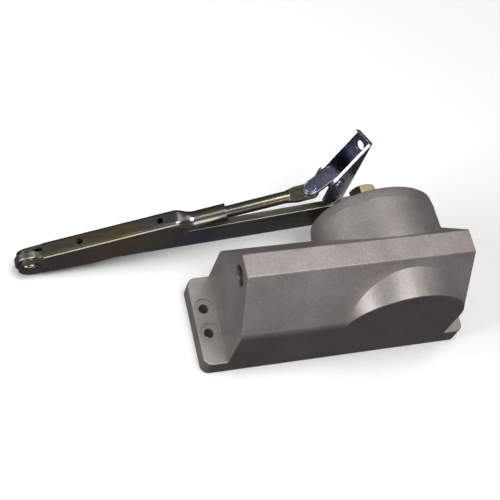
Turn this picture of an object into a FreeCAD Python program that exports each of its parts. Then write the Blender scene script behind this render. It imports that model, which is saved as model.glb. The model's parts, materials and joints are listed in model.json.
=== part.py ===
"""Door closer with a folding arm, as a parametric FreeCAD document.

The row frame has its origin in the middle of the mounting plate's back face. +X runs along
the body, +Y along the spindle towards the arm, and +Z out of the mounting plate.
Lengths are in millimetres and angles in degrees.
"""
import FreeCAD, Part
import math
import os
import re

import Sketcher

Vector = FreeCAD.Vector

SIZES = {
    # mounting plate and cast body
    "plate_length": 194.0,
    "plate_width": 66.0,
    "plate_thickness": 15.5,
    "plate_corner": 6.0,
    "body_length": 162.0,
    "body_height": 98.0,
    "side_height": 55.0,
    "crown_width": 16.5,
    "crown_edge": 1.2,
    "end_edge": 1.0,
    "end_draft": 2.0,
    "plate_edge": 0.9,
    "shoulder_round": 14.0,
    # screw holes in the ears
    "ear_hole_spacing": 18.4,
    "ear_hole_radius": 3.6,
    "spot_face_radius": 7.0,
    "spot_face_depth": 1.6,
    # spindle axis and drum
    "spindle_offset": 37.5,
    "spindle_height": 46.3,
    "drum_radius": 44.6,
    "drum_draft": 1.6,
    "drum_length": 75.0,
    "drum_rim": 0.9,
    "drum_edge": 1.5,
    "end_wall": 6.0,
    "spring_room": 20.0,
    "spring_room_radius": 39.5,
    # cover on the drum
    "cover_thickness": 9.0,
    "cover_radius": 45.3,
    "cover_taper": 1.1,
    "spigot_length": 4.0,
    "thread_gap": 0.05,
    "spanner_hole_radius": 2.6,
    "spanner_hole_depth": 4.0,
    "spanner_hole_circle": 31.0,
    # spindle, pinion and bearings
    "gear_module": 2.0,
    "pinion_teeth": 11.0,
    "pinion_width": 21.0,
    "thrust_gap": 0.5,
    "near_journal": 8.0,
    "far_journal": 10.0,
    "near_bush_radius": 11.0,
    "far_bush_radius": 15.0,
    "running_gap": 0.05,
    "square_size": 15.0,
    "thread_radius": 5.9,
    # arbor, key, spring and anchor
    "arbor_radius": 14.0,
    "key_width": 4.0,
    "key_height": 4.0,
    "strip_thickness": 1.4,
    "strip_width": 14.0,
    "spring_turns": 4.0,
    "anchor_radius": 2.0,
    # seal and gland
    "seal_radius": 12.6,
    "seal_length": 4.5,
    "gland_thread": 7.0,
    "gland_flange": 14.2,
    "gland_height": 4.0,
    # cylinder, piston and rack
    "bore_radius": 18.0,
    "bore_wall": 7.0,
    "piston_length": 40.0,
    "piston_start": -70.0,
    "rack_teeth": 7.0,
    "ring_width": 4.0,
    "ring_depth": 2.2,
    "check_bore": 3.6,
    "check_ball_radius": 3.2,
    "check_way": 1.8,
    "cap_radius": 20.5,
    "cap_thickness": 7.0,
    "cap_socket": 10.0,
    "cap_seal_width": 2.0,
    # ports in the end faces
    "port_height": 83.3,
    "port_radius": 7.5,
    "port_recess": 8.0,
    "valve_radius": 5.6,
    "valve_length": 13.0,
    "needle_radius": 2.2,
    "needle_length": 9.0,
    "drill_radius": 1.8,
    "port_seal_width": 1.6,
    # main arm
    "arm_gap": 7.0,
    "arm_thickness": 5.5,
    "arm_length": 241.3,
    "arm_angle": 8.0,
    "arm_root_width": 27.5,
    "arm_tip_width": 16.0,
    "arm_hub_radius": 13.9,
    "arm_eye_radius": 10.4,
    "arm_edge": 0.6,
    "washer_radius": 11.5,
    "washer_thickness": 1.8,
    "nut_size": 18.0,
    "nut_height": 7.5,
    # forearm
    "forearm_angle": 18.5,
    "forearm_reach": 199.0,
    "forearm_sheet": 2.6,
    "forearm_web": 11.7,
    "forearm_depth": 14.5,
    "forearm_tail_depth": 11.5,
    "forearm_length": 106.0,
    "forearm_bend": 2.6,
    "web_start": 11.9,
    "lug_radius": 8.6,
    "tube_radius": 6.3,
    "tube_end": 139.0,
    "web_hole_radius": 2.2,
    "first_web_hole": 38.0,
    "second_web_hole": 94.0,
    "elbow_radius": 4.5,
    "elbow_head_radius": 7.0,
    "elbow_head": 1.5,
    "elbow_washer": 0.8,
    "elbow_play": 0.05,
    # adjusting rod and its flattened end
    "rod_radius": 4.25,
    "rod_start": 101.5,
    "palm_start": 184.0,
    "palm_width": 10.8,
    "palm_thickness": 4.0,
    # link and foot
    "link_swivel": 24.0,
    "link_length": 18.0,
    "link_sheet": 3.0,
    "link_eye_radius": 6.5,
    "link_play": 0.4,
    "rivet_radius": 2.9,
    "rivet_head_radius": 4.7,
    "rivet_head": 1.1,
    "rivet_tail": 3.0,
    "foot_angle": 59.0,
    "foot_pin_radius": 3.45,
    "foot_pin_head": 4.9,
    "foot_pin_head_height": 1.4,
    "foot_sheet": 2.2,
    "foot_bend": 2.4,
    "foot_top": 34.0,
    "foot_bottom": 20.0,
    "foot_back": 15.4,
    "foot_lip": 3.0,
    "foot_nose": 8.0,
    "foot_screw_radius": 3.6,
    "foot_screw_edge": 7.8,
    "foot_second_screw": 14.0,
}

# Places along the spindle, measured from the middle of the plate
NEAR_WALL = "(-plate_width / 2)"
NEAR_FLOOR = f"({NEAR_WALL} + end_wall)"
PINION_SIDE = "(pinion_width / 2)"
BUSH_FACE = f"({PINION_SIDE} + thrust_gap)"
DRUM_END = "(drum_length - plate_width / 2)"
SPRING_FLOOR = f"({DRUM_END} - spring_room)"
SPRING_START = f"({SPRING_FLOOR} + thrust_gap)"
COVER_TOP = f"({DRUM_END} + cover_thickness)"
SEAL_START = f"({COVER_TOP} - gland_thread - seal_length + 3)"
GLAND_START = f"({SEAL_START} + seal_length)"
ARM_LOW = f"({COVER_TOP} + arm_gap)"
ARM_TOP = f"({ARM_LOW} + arm_thickness)"
WASHER_TOP = f"({ARM_TOP} + washer_thickness)"
NUT_TOP = f"({WASHER_TOP} + nut_height)"

# Gear and cylinder places
PITCH = "(gear_module * pinion_teeth / 2)"
PINION_ROOT = f"({PITCH} - 1.25 * gear_module)"
PINION_TIP = f"({PITCH} + gear_module)"
BORE_HEIGHT = f"(spindle_height + {PITCH})"
PISTON_RADIUS = "(bore_radius - running_gap)"
PISTON_END = "(piston_start + piston_length)"
CAP_FACE = "(body_length / 2 - cap_thickness - 1)"

# Forearm and foot places
SLOT_HALF = "(arm_thickness / 2 + elbow_washer + 2 * elbow_play)"
FOREARM_HALF = f"({SLOT_HALF} + forearm_sheet)"
LINK_LOW = "(palm_thickness / 2 + running_gap)"
LINK_TOP = f"({LINK_LOW} + link_sheet)"
EYE_HEIGHT = f"({LINK_TOP} - link_eye_radius)"
FOOT_INNER = "(palm_width / 2 + link_play)"
FOOT_HALF = f"({FOOT_INNER} + foot_sheet)"

doc = FreeCAD.newDocument("door_closer")
pieces = []


def make_sheet():
    """Put every driving dimension into the sheet, one alias to a row."""
    sheet = doc.addObject("Spreadsheet::Sheet", "sizes")
    for row, (name, value) in enumerate(SIZES.items(), start=1):
        sheet.set(f"A{row}", name)
        sheet.set(f"B{row}", str(value))
        sheet.setAlias(f"B{row}", name)
    doc.recompute()
    return sheet


sheet = make_sheet()


def size(name):
    return float(sheet.get(name))


def formula(text):
    """Point each size name in the text at its cell."""
    return re.sub(r"[a-z_]+", lambda word: f"sizes.{word[0]}" if word[0] in SIZES else word[0], str(text))


# ---------------------------------------------------------------- modelling helpers

def new_body(label, placement=None):
    body = doc.addObject("PartDesign::Body", label)
    body.Label = label
    if placement is not None:
        body.Placement = placement
    pieces.append(body)
    return body


def origin_feature(body, role):
    return next(item for item in body.Origin.OriginFeatures if item.Role == role)


def new_sketch(body, plane, offset=("0", "0", "0")):
    """Attach a sketch to one of the body's own planes, moved by three formulas."""
    sketch = body.newObject("Sketcher::SketchObject", "Sketch")
    sketch.AttachmentSupport = [(origin_feature(body, plane), "")]
    sketch.MapMode = "FlatFace"
    for axis, text in zip("xyz", offset):
        sketch.setExpression(f"AttachmentOffset.Base.{axis}", formula(text))
    return sketch


def fix_point(sketch, edge, point, start, target):
    """Hold one point of an edge at a pair of formulas."""
    for kind, value, text in zip(("DistanceX", "DistanceY"), start, target):
        index = sketch.addConstraint(Sketcher.Constraint(kind, -1, 1, edge, point, value))
        sketch.setExpression(f"Constraints[{index}]", formula(text))


def draw_polygon(sketch, corners):
    """Draw a closed outline whose corners are pairs of formulas."""
    count = len(corners)
    first = sketch.GeometryCount
    turns = [2 * math.pi * step / count for step in range(count)]
    starts = [Vector(10 * math.cos(turn), 10 * math.sin(turn), 0) for turn in turns]
    for step in range(count):
        sketch.addGeometry(Part.LineSegment(starts[step], starts[(step + 1) % count]))
    for step in range(count):
        after = first + (step + 1) % count
        sketch.addConstraint(Sketcher.Constraint("Coincident", first + step, 2, after, 1))
    for step, corner in enumerate(corners):
        fix_point(sketch, first + step, 1, starts[step], corner)


def draw_circle(sketch, centre, radius):
    edge = sketch.addGeometry(Part.Circle(Vector(1, 1, 0), Vector(0, 0, 1), 5))
    fix_point(sketch, edge, 3, (1.0, 1.0), centre)
    index = sketch.addConstraint(Sketcher.Constraint("Radius", edge, 5.0))
    sketch.setExpression(f"Constraints[{index}]", formula(radius))


def rectangle(low_x, low_y, high_x, high_y):
    return [(low_x, low_y), (high_x, low_y), (high_x, high_y), (low_x, high_y)]


def add_feature(body, kind, sketch, length=None, middle=False, reverse=False):
    """Pad or pocket a sketch; a pocket with no length goes right through both ways."""
    feature = body.newObject(f"PartDesign::{kind}", kind)
    feature.Profile = sketch
    feature.SideType = "Symmetric" if middle else "One side"
    if length is None:
        feature.Type = "ThroughAll"
    else:
        feature.setExpression("Length", formula(length))
    feature.Reversed = reverse
    body.Tip = feature
    return feature


def pad(body, plane, corners=None, circles=(), length="1", offset=("0", "0", "0"), **options):
    sketch = new_sketch(body, plane, offset)
    if corners:
        draw_polygon(sketch, corners)
    for centre, radius in circles:
        draw_circle(sketch, centre, radius)
    return add_feature(body, "Pad", sketch, length, **options)


def pocket(body, plane, corners=None, circles=(), length=None, offset=("0", "0", "0"), **options):
    sketch = new_sketch(body, plane, offset)
    if corners:
        draw_polygon(sketch, corners)
    for centre, radius in circles:
        draw_circle(sketch, centre, radius)
    return add_feature(body, "Pocket", sketch, length, **options)


def turn(body, corners, kind="Revolution", plane="XZ_Plane", axis="V_Axis", offset=("0", "0", "0")):
    """Turn an outline about an axis of its sketch, as solid or, for a Groove, as a cut."""
    sketch = new_sketch(body, plane, offset)
    draw_polygon(sketch, corners)
    feature = body.newObject(f"PartDesign::{kind}", kind)
    feature.Profile = sketch
    feature.ReferenceAxis = (sketch, [axis])
    feature.Angle = 360
    body.Tip = feature
    return feature


def repeat_round(body, feature, axis, count):
    """Repeat a feature evenly about one of the body's own axes."""
    pattern = body.newObject("PartDesign::PolarPattern", "Pattern")
    pattern.Originals = [feature]
    pattern.Axis = (origin_feature(body, axis), [""])
    pattern.Angle = 360
    pattern.setExpression("Occurrences", formula(count))
    body.Tip = pattern
    return pattern


def repeat_along(body, feature, axis, length, count):
    pattern = body.newObject("PartDesign::LinearPattern", "Row")
    pattern.Originals = [feature]
    pattern.Direction = (origin_feature(body, axis), [""])
    pattern.setExpression("Length", formula(length))
    pattern.setExpression("Occurrences", formula(count))
    body.Tip = pattern
    return pattern


def round_edges(body, radius, chosen):
    """Round the edges of the body so far that the test picks."""
    doc.recompute()
    base = body.Tip
    names = [f"Edge{number}" for number, edge in enumerate(base.Shape.Edges, start=1) if chosen(edge)]
    fillet = body.newObject("PartDesign::Fillet", "Fillet")
    fillet.Base = (base, names)
    fillet.setExpression("Radius", formula(radius))
    body.Tip = fillet
    return fillet


def runs_along(edge, axis):
    """Whether an edge is straight and parallel to a unit vector."""
    if not isinstance(edge.Curve, Part.Line):
        return False
    return abs(abs(edge.Curve.Direction.dot(axis)) - 1) < 1e-6


def ring(label, placement, inner, outer, low, high):
    """A turned ring between two radii and two places along its axis."""
    body = new_body(label, placement)
    turn(body, rectangle(inner, low, outer, high))
    return body


# ---------------------------------------------------------------- places of the moving groups

def frame_of(origin, along_x, along_z):
    """A placement at a point whose local X and Z point along two world directions."""
    along_y = along_z.cross(along_x)
    matrix = FreeCAD.Matrix(
        along_x.x, along_y.x, along_z.x, origin.x,
        along_x.y, along_y.y, along_z.y, origin.y,
        along_x.z, along_y.z, along_z.z, origin.z,
        0, 0, 0, 1,
    )
    return FreeCAD.Placement(matrix)


def tilted(angle):
    """The unit vector in the XZ plane at an angle above +X."""
    return Vector(math.cos(math.radians(angle)), 0, math.sin(math.radians(angle)))


def spindle_frame():
    """Local Z runs along the spindle, measured from the middle of the plate."""
    origin = Vector(size("spindle_offset"), 0, size("spindle_height"))
    return frame_of(origin, Vector(1, 0, 0), Vector(0, 1, 0))


def arm_low():
    far_wall = size("drum_length") - size("plate_width") / 2
    return far_wall + size("cover_thickness") + size("arm_gap")


def arm_frame():
    """Local X runs from the spindle to the elbow, local Z along the spindle."""
    origin = Vector(size("spindle_offset"), arm_low(), size("spindle_height"))
    return frame_of(origin, tilted(size("arm_angle")) * -1, Vector(0, 1, 0))


def forearm_frame():
    """Local X runs from the elbow to the link rivet, local Z back towards the body."""
    elbow = arm_frame().multVec(Vector(size("arm_length"), 0, size("arm_thickness") / 2))
    return frame_of(elbow, tilted(size("forearm_angle")), Vector(0, -1, 0))


def link_frame():
    """Local X runs from the link rivet to the foot pin, local Z along the rivet."""
    forearm = forearm_frame()
    rivet = forearm.multVec(Vector(size("forearm_reach"), 0, 0))
    along = forearm.Rotation.multVec(Vector(1, 0, 0))
    up = forearm.Rotation.multVec(Vector(0, 1, 0))
    swivel = math.radians(size("link_swivel"))
    side = Vector(0, 1, 0)
    return frame_of(rivet, along * math.cos(swivel) + side * math.sin(swivel), up)


def foot_frame():
    """Local X runs up the foot, local Y out of its open side, local Z along its pin."""
    link = link_frame()
    eye = size("palm_thickness") / 2 + size("running_gap") + size("link_sheet") - size("link_eye_radius")
    pin = link.multVec(Vector(size("link_length"), 0, eye))
    ahead = link.Rotation.multVec(Vector(1, 0, 0))
    up = link.Rotation.multVec(Vector(0, 0, 1))
    lean = math.radians(size("foot_angle"))
    across = link.Rotation.multVec(Vector(0, -1, 0))
    return frame_of(pin, ahead * math.cos(lean) + up * math.sin(lean), across)


SPINDLE = spindle_frame()
ARM = arm_frame()
FOREARM = forearm_frame()
LINK = link_frame()
FOOT = foot_frame()


def end_frame(side, height):
    """Local Z points out of an end face, measured from the face itself."""
    origin = Vector(side * size("body_length") / 2, 0, height)
    return frame_of(origin, Vector(0, side, 0), Vector(side, 0, 0))


# ---------------------------------------------------------------- the body and its covers

def make_housing():
    body = new_body("housing")
    half = "plate_width / 2"
    crown = "crown_width / 2"
    section = [
        (f"-{half}", "0"), (half, "0"), (half, "side_height"),
        (crown, "body_height"), (f"-{crown}", "body_height"), (f"-{half}", "side_height"),
    ]
    pad(body, "YZ_Plane", section, length="body_length", middle=True)
    along = Vector(1, 0, 0)
    shoulder = size("side_height")
    top = size("body_height")
    round_edges(body, "shoulder_round", lambda edge: runs_along(edge, along)
                and abs(edge.CenterOfMass.z - shoulder) < 1e-3)
    round_edges(body, "crown_edge", lambda edge: runs_along(edge, along)
                and abs(edge.CenterOfMass.z - top) < 1e-3)
    draft = [
        ("-body_length / 2 - 1", "plate_thickness / 2"), ("-body_length / 2", "plate_thickness / 2"),
        ("end_draft - body_length / 2", "body_height + 1"), ("-body_length / 2 - 1", "body_height + 1"),
    ]
    pocket(body, "XZ_Plane", draft, middle=True)
    plate = rectangle("-plate_length / 2", f"-{half}", "plate_length / 2", half)
    pad(body, "XY_Plane", plate, length="plate_thickness")
    limit = size("body_length") / 2 + 0.1
    round_edges(body, "plate_corner", lambda edge: runs_along(edge, Vector(0, 0, 1))
                and abs(edge.CenterOfMass.x) > limit)
    on_spindle = ("spindle_offset", "0", "spindle_height")
    drum = [
        ("0", NEAR_WALL), ("drum_radius", NEAR_WALL), ("drum_radius + drum_draft", "0"),
        ("drum_radius + drum_draft / 3", DRUM_END), ("0", DRUM_END),
    ]
    turn(body, drum, plane="XY_Plane", offset=on_spindle)
    soften_casting(body)
    cut_spindle_bores(body, on_spindle)
    cut_cylinder(body)
    cut_ports(body)
    cut_ear_holes(body)
    return body


def soften_casting(body):
    """Round the rims of the drum, the left end of the body and the top of the plate."""
    near = -size("plate_width") / 2
    far = near + size("drum_length")
    end = size("body_length") / 2
    thick = size("plate_thickness")
    half = size("plate_width") / 2
    round_edges(body, "drum_rim", lambda edge: isinstance(edge.Curve, Part.Circle)
                and abs(edge.CenterOfMass.y - near) < 1e-3 and edge.Length > half)
    round_edges(body, "end_edge", lambda edge: edge.CenterOfMass.x < size("end_draft") - end
                and edge.CenterOfMass.z > thick + 2 and edge.BoundBox.XLength < size("end_draft") + 0.5)
    round_edges(body, "plate_edge", lambda edge: abs(edge.CenterOfMass.z - thick) < 1e-3
                and edge.BoundBox.ZLength < 1e-3 and abs(edge.CenterOfMass.x) > end + 0.5)


def cut_spindle_bores(body, on_spindle):
    """Bearing seats, pinion chamber and spring room, in one stepped cut."""
    steps = [
        ("0", NEAR_FLOOR), ("near_bush_radius", NEAR_FLOOR),
        ("near_bush_radius", f"-{BUSH_FACE}"), ("far_bush_radius", f"-{BUSH_FACE}"),
        ("far_bush_radius", SPRING_FLOOR), ("spring_room_radius", SPRING_FLOOR),
        ("spring_room_radius", f"{DRUM_END} + 1"), ("0", f"{DRUM_END} + 1"),
    ]
    turn(body, steps, "Groove", "XY_Plane", offset=on_spindle)
    anchor = anchor_place()
    pocket(body, "XZ_Plane", circles=[(anchor, "anchor_radius")],
           length="anchor_radius * 2", offset=("0", "0", f"-{SPRING_FLOOR}"), reverse=True)


def anchor_place():
    """The spring anchor stands close to the wall of the spring room, on the side of the body."""
    return ("spindle_offset - spring_room_radius + anchor_radius * 2", "spindle_height")


def cut_cylinder(body):
    """Piston bore from the right end, with a seat for its cap."""
    steps = [
        ("bore_wall - body_length / 2", "0"), ("bore_wall - body_length / 2", "bore_radius"),
        (f"{CAP_FACE} - cap_seal_width", "bore_radius"), (f"{CAP_FACE} - cap_seal_width", "cap_radius"),
        ("body_length / 2 + 1", "cap_radius"), ("body_length / 2 + 1", "0"),
    ]
    turn(body, steps, "Groove", "XY_Plane", "H_Axis", ("0", "0", BORE_HEIGHT))


def cut_ports(body):
    """A recessed screw port in each end face, with a drilled way down to the bore."""
    deep = "(port_recess + valve_length)"
    for side in (-1, 1):
        def out(text, side=side):
            return f"{side} * (body_length / 2 - {text})"
        steps = [
            (out("-1"), "0"), (out("-1"), "port_radius"), (out("port_recess"), "port_radius"),
            (out("port_recess"), "valve_radius"), (out(deep), "valve_radius"),
            (out(deep), "needle_radius + 0.4"), (out(f"({deep} + needle_length + 3)"), "needle_radius + 0.4"),
            (out(f"({deep} + needle_length + 3)"), "0"),
        ]
        turn(body, steps, "Groove", "XY_Plane", "H_Axis", ("0", "0", "port_height"))
        centre = (out(f"({deep} + needle_length)"), "0")
        pocket(body, "XY_Plane", circles=[(centre, "drill_radius")],
               length=f"port_height - {BORE_HEIGHT}", offset=("0", "0", "port_height"))


def cut_ear_holes(body):
    """Two screw holes to an ear, spot-faced in front."""
    middle = "(plate_length + body_length) / 4"
    centres = [(f"{side} * {middle}", f"{row} * ear_hole_spacing / 2") for side in (-1, 1) for row in (-1, 1)]
    pocket(body, "XY_Plane", circles=[(centre, "ear_hole_radius") for centre in centres], middle=True)
    pocket(body, "XY_Plane", circles=[(centre, "spot_face_radius") for centre in centres],
           length="spot_face_depth", offset=("0", "0", "plate_thickness"))


def make_spring_cover():
    body = new_body("spring_cover", SPINDLE)
    profile = [
        ("far_journal + running_gap", f"{DRUM_END} - spigot_length"),
        ("spring_room_radius - thread_gap", f"{DRUM_END} - spigot_length"),
        ("spring_room_radius - thread_gap", DRUM_END), ("cover_radius", DRUM_END),
        ("cover_radius - cover_taper", f"{COVER_TOP} - drum_edge"),
        ("cover_radius - cover_taper - drum_edge", COVER_TOP), ("seal_radius", COVER_TOP),
        ("seal_radius", SEAL_START), ("far_journal + running_gap", SEAL_START),
    ]
    turn(body, profile)
    hole = pocket(body, "XY_Plane", circles=[(("spanner_hole_circle", "0"), "spanner_hole_radius")],
                  length="spanner_hole_depth", offset=("0", "0", COVER_TOP))
    repeat_round(body, hole, "Z_Axis", "4")


def make_cylinder_cap():
    frame = end_frame(1, size("spindle_height") + size("gear_module") * size("pinion_teeth") / 2)
    body = new_body("cylinder_cap", frame)
    profile = [
        ("0", "-cap_thickness - 1"), ("cap_radius - thread_gap", "-cap_thickness - 1"),
        ("cap_radius - thread_gap", "-1.5"), ("cap_radius - 0.55", "-1"), ("0", "-1"),
    ]
    turn(body, profile)
    pocket(body, "XY_Plane", hexagon("cap_socket"), length="cap_thickness - 3", offset=("0", "0", "-1"))
    ring("cap_seal", frame, "cap_radius - 3", "cap_radius - thread_gap",
         "-cap_thickness - 1 - cap_seal_width", "-cap_thickness - 1")


def hexagon(across):
    """Corners of a hexagon of a given width across its flats."""
    corners = []
    for step in range(6):
        turned = math.radians(60 * step)
        corners.append((f"{across} * {math.cos(turned) / math.sqrt(3):.9f}",
                        f"{across} * {math.sin(turned) / math.sqrt(3):.9f}"))
    return corners


def make_port_screw(label, seal_label, side, tip_length):
    """A slotted screw in an end port, with its seal; the valve's has a needle."""
    frame = end_frame(side, size("port_height"))
    body = new_body(label, frame)
    radius = "(valve_radius - thread_gap)"
    foot = "(-port_recess - valve_length + port_seal_width + 0.4)"
    profile = [
        ("0", foot), (radius, foot), (radius, "-port_recess - 0.8"),
        ("valve_radius - 0.8", "-port_recess"), ("0", "-port_recess"),
    ]
    turn(body, profile)
    if tip_length != "0":
        needle = [
            ("0", f"{foot} - {tip_length}"), ("needle_radius * 0.4", f"{foot} - {tip_length}"),
            ("needle_radius", f"{foot} - {tip_length} + 3"), ("needle_radius", f"{foot} + 1"),
            ("0", f"{foot} + 1"),
        ]
        turn(body, needle)
    slot = rectangle("-valve_radius - 1", "-0.8", "valve_radius + 1", "0.8")
    pocket(body, "XY_Plane", slot, length="2.2", offset=("0", "0", "-port_recess"))
    ring(seal_label, frame, "needle_radius + 0.05", "valve_radius",
         "-port_recess - valve_length + 0.2", "-port_recess - valve_length + 0.2 + port_seal_width")


# ---------------------------------------------------------------- spindle, bearings and spring

def make_spindle():
    body = new_body("spindle", SPINDLE)
    square_low = ARM_LOW
    square_high = f"({ARM_TOP} - 0.3)"
    profile = [
        ("0", f"{NEAR_FLOOR} + thrust_gap"), ("near_journal", f"{NEAR_FLOOR} + thrust_gap"),
        ("near_journal", f"-{PINION_SIDE}"), (PINION_ROOT, f"-{PINION_SIDE}"),
        (PINION_ROOT, PINION_SIDE), ("far_journal", PINION_SIDE), ("far_journal", square_high),
        ("thread_radius", square_high), ("thread_radius", f"{NUT_TOP} + 0.6"),
        ("thread_radius - 1", f"{NUT_TOP} + 1.6"), ("0", f"{NUT_TOP} + 1.6"),
    ]
    turn(body, profile)
    tip = "gear_module * 0.45"
    root = "gear_module * 0.8"
    tooth = [
        (root, f"1 - {PINION_ROOT}"), ("gear_module * 0.84", f"gear_module * 0.4 - {PITCH}"),
        (tip, f"-{PINION_TIP}"), (f"-{tip}", f"-{PINION_TIP}"),
        ("-gear_module * 0.84", f"gear_module * 0.4 - {PITCH}"), (f"-{root}", f"1 - {PINION_ROOT}"),
    ]
    first = pad(body, "XY_Plane", tooth, length="pinion_width", middle=True)
    repeat_round(body, first, "Z_Axis", "pinion_teeth")
    flat = rectangle("square_size / 2", "-far_journal - 1", "far_journal + 1", "far_journal + 1")
    cut = pocket(body, "XY_Plane", flat, length=f"{square_high} - {square_low}",
                 offset=("0", "0", square_high))
    repeat_round(body, cut, "Z_Axis", "4")
    key = rectangle("far_journal - key_height / 2", "-key_width / 2", "far_journal + 1", "key_width / 2")
    pocket(body, "XY_Plane", key, length="strip_width - 2",
           offset=("0", "0", f"{SPRING_START} + strip_width - 1"))


def make_bearings():
    ring("near_bush", SPINDLE, "near_journal + running_gap", "near_bush_radius",
         NEAR_FLOOR, f"-{BUSH_FACE}")
    ring("far_bush", SPINDLE, "far_journal + running_gap", "far_bush_radius", BUSH_FACE, SPRING_FLOOR)
    ring("shaft_seal", SPINDLE, "far_journal + 0.02", "seal_radius", SEAL_START, GLAND_START)
    gland = new_body("gland_nut", SPINDLE)
    profile = [
        ("far_journal + running_gap", GLAND_START), ("seal_radius - thread_gap", GLAND_START),
        ("seal_radius - thread_gap", COVER_TOP), ("gland_flange", COVER_TOP),
        ("gland_flange", f"{COVER_TOP} + gland_height - 0.6"),
        ("gland_flange - 0.6", f"{COVER_TOP} + gland_height"),
        ("far_journal + running_gap", f"{COVER_TOP} + gland_height"),
    ]
    turn(gland, profile)
    notch = rectangle("gland_flange - 1.8", "-1.5", "gland_flange + 1", "1.5")
    cut = pocket(gland, "XY_Plane", notch, length="gland_height",
                 offset=("0", "0", f"{COVER_TOP} + gland_height"))
    repeat_round(gland, cut, "Z_Axis", "6")


def make_arbor():
    """The sleeve that winds the spring, and the key that drives it."""
    body = new_body("spring_arbor", SPINDLE)
    turn(body, rectangle("far_journal + 0.02", SPRING_START, "arbor_radius", f"{SPRING_START} + strip_width"))
    slot = rectangle("far_journal - 1", "-key_width / 2", "far_journal + key_height / 2", "key_width / 2")
    pocket(body, "XY_Plane", slot, middle=True)
    key = new_body("arbor_key", SPINDLE)
    outline = rectangle("far_journal - key_height / 2", "-key_width / 2",
                        "far_journal + key_height / 2", "key_width / 2")
    pad(key, "XY_Plane", outline, length="strip_width - 2", offset=("0", "0", f"{SPRING_START} + 1"))
    frame = SPINDLE.multiply(FreeCAD.Placement(anchor_vector(), FreeCAD.Rotation()))
    ring("spring_anchor", frame, "0", "anchor_radius",
         f"{SPRING_FLOOR} - anchor_radius * 2", f"{SPRING_START} + strip_width")


def anchor_vector():
    """The anchor's place in the spindle frame."""
    return Vector(2 * size("anchor_radius") - size("spring_room_radius"), 0, 0)


def make_main_spring():
    """A flat strip coiled in half circles, from the arbor out to the anchor."""
    half_strip = size("strip_thickness") / 2
    radius = size("arbor_radius") + half_strip + 0.02
    last = size("spring_room_radius") - 3 * size("anchor_radius") - half_strip - 0.02
    half_turns = 2 * int(size("spring_turns"))
    growth = (last - radius) / half_turns
    inner = []
    outer = []
    centre = 0.0
    way = 1
    for _ in range(half_turns + 1):
        inner.append(half_circle(centre, radius - half_strip, way))
        outer.append(half_circle(centre, radius + half_strip, way))
        radius += growth
        centre += way * growth
        way = -way
    start = Part.LineSegment(inner[0].Vertexes[0].Point, outer[0].Vertexes[0].Point).toShape()
    end = Part.LineSegment(inner[-1].Vertexes[-1].Point, outer[-1].Vertexes[-1].Point).toShape()
    wire = Part.Wire(Part.__sortEdges__(inner + outer + [start, end]))
    spring = doc.addObject("Part::Feature", "main_spring")
    spring.Label = "main_spring"
    spring.Shape = Part.Face(wire).extrude(Vector(0, 0, size("strip_width")))
    far_wall = size("drum_length") - size("plate_width") / 2
    floor = far_wall - size("spring_room") + size("thrust_gap")
    spring.Placement = SPINDLE.multiply(FreeCAD.Placement(Vector(0, 0, floor), FreeCAD.Rotation()))
    pieces.append(spring)


def half_circle(centre, radius, way):
    """Half a circle from one side of its centre to the other, over (1) or under (-1) it."""
    points = [Vector(centre + way * radius, 0, 0), Vector(centre, way * radius, 0),
              Vector(centre - way * radius, 0, 0)]
    return Part.Arc(*points).toShape()


# ---------------------------------------------------------------- piston and its small parts

def bore_frame():
    """Local X along the cylinder from the middle of the body, local Z out of the plate."""
    height = size("spindle_height") + size("gear_module") * size("pinion_teeth") / 2
    return FreeCAD.Placement(Vector(0, 0, height), FreeCAD.Rotation())


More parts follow.
